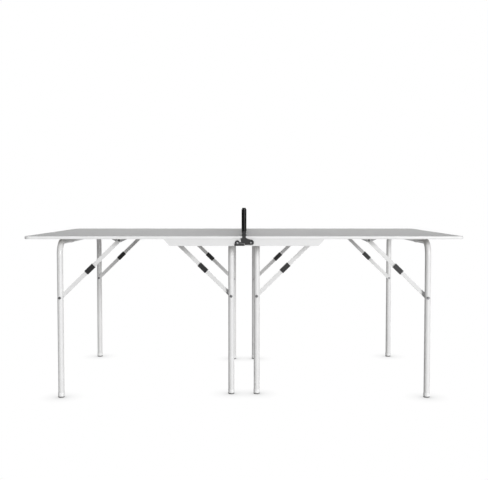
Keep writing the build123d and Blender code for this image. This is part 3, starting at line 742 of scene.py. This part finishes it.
@dataclass
class Net:
    """The net: knotted netting, a folded tape with a bead along its top, side hems and stitching."""

    mesh_mm: float = 9.0
    twine_mm: float = 1.1
    twine_bulk: float = 1.05  # what the knots add to the twines' area
    least_cover: float = 0.31  # the least share of its outline that a net's area counts as
    knot_swell: float = 0.75
    knot_mm: float = 1.2
    facets: int = 5
    tape_cloth_mm: float = 0.5
    tape_bead_mm: float = 2.4
    tape_wall_mm: float = 1.05
    tape_stations: int = 190
    tape_seams_mm: tuple[float, float] = (1.8, 4.2)
    tape_margin_mm: float = 4.0
    hem_wide_mm: float = 11.0
    hem_wall_mm: float = 1.3
    hem_stations: int = 32
    hem_gap_mm: float = 0.6
    hem_seam_mm: float = 2.5
    hem_margin_mm: float = 2.0
    stitch_mm: float = 3.4
    stitch_gap_mm: float = 1.0
    thread_mm: float = 0.5

    def dress(self, nodes: dict[str, Object], finishes: Finishes) -> None:
        """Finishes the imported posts, collars, clamps and catches.

        Args:
            nodes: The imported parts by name.
            finishes: The table's finishes.
        """
        for part, material in {"net_posts": finishes.post, "net_collars": finishes.clamp,
                               "net_clamps": finishes.clamp, "net_catches": finishes.clamp}.items():
            dress(nodes, part, material)

    def stations(self, low: float, high: float) -> tuple[np.ndarray, np.ndarray]:
        """Places along a strand, close together at each knot.

        Args:
            low: Where the strand starts.
            high: Where it ends.

        Returns:
            The places, and how far each is from its nearest knot.
        """
        cells = max(round((high - low) / (self.mesh_mm * MM)), 1)
        knots = np.linspace(low, high, cells + 1)
        near = self.knot_mm * MM
        offsets = np.array([-near, 0.0, near, (high - low) / cells / 2])
        places = (knots[:, None] + offsets[None]).ravel()
        places = np.clip(places, low, high)
        away = np.abs(np.broadcast_to(offsets, (cells + 1, 4))).ravel()
        keep = np.concatenate([[True], np.diff(places) > 1e-6])
        return places[keep], away[keep]

    def sway(self, y: np.ndarray, height: np.ndarray) -> np.ndarray:
        """How far the net stands off its plane: two long sines of y that fade towards the tape.

        Args:
            y: Place along the net.
            height: 0 at the lower edge and 1 at the tape.

        Returns:
            The offset in X.
        """
        wave = 0.8 * np.sin(math.tau * y / 0.31 + 0.7) + 0.5 * np.sin(math.tau * y / 0.117 + 2.0)
        return wave * MM * (1.0 - height) ** 1.5

    def netting(self, finishes: Finishes) -> None:
        """Uprights and rows of twine that swell to a knot wherever they cross.

        A strand's radius is its own plus a bell-shaped swell, exp of minus the squared distance
        from the knot over the knot's size squared. The net sways a little at its lower edge.

        Args:
            finishes: The table's finishes.
        """
        low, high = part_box("net_mesh")
        radius = self.twine_mm / 2 * MM
        bottom, top = low.z + radius, high.z - radius
        near, far = low.y + radius, high.y - radius
        z_at, z_away = self.stations(bottom, top)
        y_at, y_away = self.stations(near, far)
        columns = round((far - near) / (self.mesh_mm * MM)) + 1
        rows = round((top - bottom) / (self.mesh_mm * MM)) + 1
        upright_y = np.linspace(near, far, columns)
        row_z = np.linspace(bottom, top, rows)
        surfaces = []
        for first, second, away, upright in ((upright_y, z_at, z_away, True),
                                             (row_z, y_at, y_away, False)):
            a, b = np.meshgrid(first, second, indexing="ij")
            y, z = (a, b) if upright else (b, a)
            share = (z - bottom) / (top - bottom)
            path = np.stack([self.sway(y, share), y, z], axis=-1)
            swell = radius * (1 + self.knot_swell * np.exp(-(away / (self.knot_mm * MM)) ** 2))
            size = np.broadcast_to(swell, a.shape)
            lift = (0.0, 1.0, 0.0) if upright else (0.0, 0.0, 1.0)
            surfaces.append(strands(path, size, np.array((1.0, 0.0, 0.0)), np.array(lift), self.facets))
        made = joined(surfaces).object("net_netting", finishes.twine)
        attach(made, "net")
        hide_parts("net_mesh")
        LOG.info("net_netting: %d uprights and %d rows", columns, rows)

    def tape_outline(self, top: float, hem: float) -> tuple[np.ndarray, np.ndarray]:
        """The folded tape's outline, in X and Z.

        From the hem each wall rises straight, opens out as a smooth step (3 s squared minus 2 s
        cubed) to the bead's radius, and the two meet in a half circle over the bead.

        Args:
            top: Height of the tape's upper edge.
            hem: Height of its lower edges.

        Returns:
            The outer and the inner face, from the left hem to the right one.
        """
        cloth, bead, wall = (s * MM for s in (self.tape_cloth_mm, self.tape_bead_mm, self.tape_wall_mm))
        centre = top - bead
        rise = np.linspace(hem, centre, 12)
        share = np.clip((rise - (centre - 2.2 * bead)) / (2.2 * bead), 0, 1)
        opened = 3 * share**2 - 2 * share**3
        turn = np.linspace(math.pi, 0.0, 13)[1:-1]
        faces = []
        for inset in (0.0, cloth):
            half = (wall - inset) + (bead - wall) * opened
            side = np.stack([-half, rise], axis=-1)
            arc = np.stack([(bead - inset) * np.cos(turn), centre + (bead - inset) * np.sin(turn)], -1)
            faces.append(np.concatenate([side, arc, side[::-1] * (-1.0, 1.0)]))
        return faces[0], faces[1]

    def ripple(self, y: np.ndarray) -> np.ndarray:
        """How far the tape stands off its plane: two short sines of y."""
        return 0.12 * MM * np.sin(math.tau * y / 0.083) + 0.08 * MM * np.sin(math.tau * y / 0.037)

    def stitch_starts(self, low: float, high: float, margin_mm: float) -> np.ndarray:
        """Where the stitches of a seam from low to high begin, with a margin at both its ends."""
        long, gap = self.stitch_mm * MM, self.stitch_gap_mm * MM
        return np.arange(low + margin_mm * MM, high - margin_mm * MM - long, long + gap)

    def stitching(self, name: str, seams: list[tuple[float, np.ndarray]], way: tuple[float, float, float],
                  finishes: Finishes) -> Object:
        """Sews seams on both faces of a folded strip.

        Args:
            name: The piece's name.
            seams: For each seam its face, -1 or 1 in X, and where its stitches begin.
            way: Unit vector along the seams.
            finishes: The table's finishes.

        Returns:
            The stitching.
        """
        rows = [stitch_row(starts, np.array(way), np.array((face, 0.0, 0.0)), self.stitch_mm * MM,
                           self.thread_mm / 2 * MM) for face, starts in seams]
        sewn = joined(rows).object(name, finishes.thread)
        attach(sewn, "net")
        return sewn

    def tape(self, finishes: Finishes) -> None:
        """The cotton tape folded over the netting's upper edge, with two seams on each face.

        Args:
            finishes: The table's finishes.
        """
        low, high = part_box("net_tape")
        outer, inner = self.tape_outline(high.z, low.z)
        run = np.linspace(low.y, high.y, self.tape_stations)
        strip = folded_strip(outer, inner, run, (0, 2, 1), self.ripple(run))
        made = strip.object("net_top_tape", finishes.tape)
        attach(made, "net")
        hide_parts("net_tape")
        along = self.stitch_starts(low.y, high.y, self.tape_margin_mm)
        seams = []
        for face in (-1.0, 1.0):
            off_plane = face * self.tape_wall_mm * MM + self.ripple(along)
            for seam_mm in self.tape_seams_mm:
                level = np.full(len(along), low.z + seam_mm * MM)
                seams.append((face, np.stack([off_plane, along, level], axis=-1)))
        sewn = self.stitching("net_tape_stitching", seams, (0.0, 1.0, 0.0), finishes)

    def hems(self, finishes: Finishes) -> None:
        """The folded hem at each end of the netting, with one row of stitching on each face.

        The fold's outline is a half circle round the last upright and two straight walls that run
        back along the net; it is carried up from just over the board to just under the tape.

        Args:
            finishes: The table's finishes.
        """
        net_low, net_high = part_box("net_mesh")
        tape_low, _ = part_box("net_tape")
        cloth, wall, wide = (s * MM for s in (self.tape_cloth_mm, self.hem_wall_mm, self.hem_wide_mm))
        gap = self.hem_gap_mm * MM
        run = np.linspace(net_low.z + gap, tape_low.z - gap, self.hem_stations)
        turn = np.linspace(math.pi, 0.0, 9)
        rise = self.stitch_starts(run[0], run[-1], self.hem_margin_mm)
        for side, edge, way in ((Side.NEAR, net_low.y, -1.0), (Side.FAR, net_high.y, 1.0)):
            centre = edge - way * wall
            back = centre - way * wide
            faces = []
            for inset in (0.0, cloth):
                arc = np.stack([(wall - inset) * np.cos(turn),
                                centre + way * (wall - inset) * np.sin(turn)], axis=-1)
                first = np.stack([np.full(4, inset - wall), np.linspace(back, centre, 5)[:-1]], axis=-1)
                faces.append(np.concatenate([first, arc, first[::-1] * (-1.0, 1.0)]))
            name = f"net_{side.value}_hem"
            made = folded_strip(faces[0], faces[1], run, (0, 1, 2), 0 * run).object(name, finishes.tape)
            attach(made, "net")
            seam = np.full(len(rise), back + way * self.hem_seam_mm * MM)
            seams = [(face, np.stack([np.full(len(rise), face * wall), seam, rise], axis=-1))
                     for face in (-1.0, 1.0)]
            sewn = self.stitching(f"{name}_stitching", seams, (0.0, 0.0, 1.0), finishes)

    def build(self, nodes: dict[str, Object], finishes: Finishes) -> None:
        """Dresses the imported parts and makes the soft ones.

        Args:
            nodes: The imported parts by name.
            finishes: The table's finishes.
        """
        self.dress(nodes, finishes)
        self.netting(finishes)
        self.tape(finishes)
        self.hems(finishes)


# -------------------- studio


@dataclass
class Lamp:
    """One soft box: where it stands, what it points at, its size and its power."""

    name: str
    at: tuple[float, float, float]
    aim: tuple[float, float, float]
    size: tuple[float, float]
    power: float

    def build(self) -> Object:
        """Makes the area light, turned so that its face looks at its aim.

        Returns:
            The lamp's object.
        """
        data = bpy.data.lights.new(self.name, "AREA")
        data.shape = "RECTANGLE"
        data.size, data.size_y = self.size
        data.energy = self.power
        lamp = bpy.data.objects.new(self.name, data)
        bpy.context.scene.collection.objects.link(lamp)
        place, aim = np.array(self.at), np.array(self.aim)
        lamp.location = place.tolist()
        way = Vector((aim - place).tolist())
        lamp.rotation_euler = way.to_track_quat("-Z", "Y").to_euler()
        return lamp


@dataclass
class Studio:
    """A pale floor, soft light and the camera, which looks almost level along the table's width."""

    camera_back: float = 3.5091
    camera_high: float = 0.9077
    camera_dip_deg: float = 2.68
    lens_mm: float = 56.85
    floor_half: float = 14.0
    pool_depth: float = 0.24
    pool_gain: float = 0.9
    pool_reach_mm: float = 100.0
    pool_samples: int = 24
    sky: float = 0.3
    ground: float = 0.06
    dusk: tuple[float, float] = (-0.1, 0.45)
    mirrored_share: float = 0.2

    def camera(self) -> None:
        """Stands the camera a fixed distance from the table's near long edge."""
        low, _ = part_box("left_edge_band")
        data = bpy.data.cameras.new("camera")
        data.lens = self.lens_mm
        data.sensor_width = 36.0
        data.clip_start, data.clip_end = 0.05, 100.0
        camera = bpy.data.objects.new("camera", data)
        camera.location = (0.0, low.y - self.camera_back, self.camera_high)
        camera.rotation_euler = (math.radians(90.0 - self.camera_dip_deg), 0.0, 0.0)
        bpy.context.scene.collection.objects.link(camera)
        bpy.context.scene.camera = camera

    def floor(self) -> None:
        """A white paper sweep with a soft pool of shade round every foot that stands on it.

        What the camera sees of it glows white, less pool_gain times the share of the sky that
        anything within pool_reach_mm hides, and never less than 1 - pool_depth. For the table the
        paper is a plain matt floor. From underneath it is clear.
        """
        half = self.floor_half
        corners = np.array([(-half, -half, 0.0), (half, -half, 0.0), (half, half, 0.0), (-half, half, 0.0)])
        paper = bpy.data.materials.new("studio_paper_white")
        paper.use_nodes = True
        tree = paper.node_tree
        tree.nodes.remove(tree.nodes["Principled BSDF"])
        place = add_node(tree, "ShaderNodeTexCoord")
        fibre = add_node(tree, "ShaderNodeTexNoise", {"Scale": per_metre(40.0)},
                         {"Vector": place.outputs["Object"]})
        tone = add_node(tree, "ShaderNodeMix", {6: linear("#D6D6D6"), 7: linear("#D9D9D9")},
                        {0: fibre.outputs["Fac"]}, data_type="RGBA")
        matt = add_node(tree, "ShaderNodeBsdfDiffuse", links={"Color": tone.outputs[2]})
        open_sky = add_node(tree, "ShaderNodeAmbientOcclusion", {"Distance": self.pool_reach_mm * MM},
                            samples=self.pool_samples)
        hidden = add_node(tree, "ShaderNodeMath", {1: -self.pool_gain, 2: self.pool_gain},
                          {0: open_sky.outputs["AO"]}, operation="MULTIPLY_ADD")
        shade = add_node(tree, "ShaderNodeMath", {1: self.pool_depth}, {0: hidden.outputs["Value"]},
                         operation="MINIMUM")
        level = add_node(tree, "ShaderNodeMath", {0: 1.0}, {1: shade.outputs["Value"]},
                         operation="SUBTRACT")
        glow = add_node(tree, "ShaderNodeEmission", links={"Strength": level.outputs["Value"]})
        under = add_node(tree, "ShaderNodeNewGeometry")
        clear = add_node(tree, "ShaderNodeBsdfTransparent")
        shown = add_node(tree, "ShaderNodeMixShader",
                         links={0: under.outputs["Backfacing"], 1: glow.outputs[0], 2: clear.outputs[0]})
        seen = add_node(tree, "ShaderNodeLightPath")
        mixed = add_node(tree, "ShaderNodeMixShader", links={0: seen.outputs["Is Camera Ray"],
                                                             1: matt.outputs[0], 2: shown.outputs[0]})
        tree.links.new(mixed.outputs[0], tree.nodes["Material Output"].inputs["Surface"])
        sheet = Surface(corners, np.array([[0, 1, 2, 3]]), np.zeros((1, 4, 2)))
        sheet.object("studio_floor", paper)

    def world(self) -> None:
        """White behind the table; for its light, a sky that is bright overhead and dim low down.

        The change runs over dusk, which gives its two ends as the upward share of the direction.
        Gloss mirrors a dimmer room than the one that lights the table, as between soft boxes.
        """
        world = bpy.data.worlds.new("studio_world")
        bpy.context.scene.world = world
        world.use_nodes = True
        tree = world.node_tree
        place = add_node(tree, "ShaderNodeTexCoord")
        height = add_node(tree, "ShaderNodeSeparateXYZ", links={0: place.outputs["Generated"]})
        level = add_node(tree, "ShaderNodeMapRange",
                         {"From Min": self.dusk[0], "From Max": self.dusk[1],
                          "To Min": self.ground, "To Max": self.sky}, {"Value": height.outputs["Z"]})
        seen = add_node(tree, "ShaderNodeLightPath")
        dim = add_node(tree, "ShaderNodeMapRange", {"To Min": 1.0, "To Max": self.mirrored_share},
                       {"Value": seen.outputs["Is Glossy Ray"]})
        lit = add_node(tree, "ShaderNodeMath", operation="MULTIPLY",
                       links={0: level.outputs["Result"], 1: dim.outputs["Result"]})
        strength = add_node(tree, "ShaderNodeMix", {3: 1.0},
                            {0: seen.outputs["Is Camera Ray"], 2: lit.outputs["Value"]})
        tree.links.new(strength.outputs[0], tree.nodes["Background"].inputs["Strength"])
        tree.nodes["Background"].inputs["Color"].default_value = (1.0, 1.0, 1.0, 1.0)

    def lights(self, shadeless: list[Object]) -> None:
        """A key in front, to the right, a wide box overhead and a weak one behind.

        Args:
            shadeless: Small parts that throw no shadow of the key on the apron just behind them.
        """
        key = Lamp("key_softbox", at=(14.0, -25.5, 6.4), aim=(0.0, 0.0, 0.4), size=(8.0, 11.0),
                   power=7200.0).build()
        let_through = bpy.data.collections.new("key_light_let_through")
        for part in shadeless:
            let_through.objects.link(part)
        for entry in let_through.collection_objects:
            entry.light_linking.link_state = "EXCLUDE"
        key.light_linking.blocker_collection = let_through
        Lamp("overhead_softbox", at=(0.0, -0.6, 4.2), aim=(0.0, 0.0, 0.7), size=(4.0, 2.6),
             power=40.0).build()
        Lamp("back_softbox", at=(0.0, 6.0, 2.2), aim=(0.0, 0.0, 0.5), size=(9.0, 1.4),
             power=150.0).build()

    def build(self, nodes: dict[str, Object]) -> None:
        """Sets up camera, floor, world and lamps, and plain display colours.

        Args:
            nodes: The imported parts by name.
        """
        self.camera()
        self.floor()
        self.world()
        self.lights([nodes[name] for name in ("net_clamps", "net_collars", "net_posts", "net_catches")])
        bpy.context.scene.view_settings.view_transform = "Standard"


def main() -> None:
    """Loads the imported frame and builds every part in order."""
    logging.basicConfig(level=logging.INFO, format="%(name)s: %(message)s")
    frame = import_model()
    Studio().build(frame["nodes"])
    finishes = Finishes()
    for half in Half:
        HalfTable(half).dress(frame["nodes"], finishes)
    Net().build(frame["nodes"], finishes)


if __name__ == "__main__":
    main()
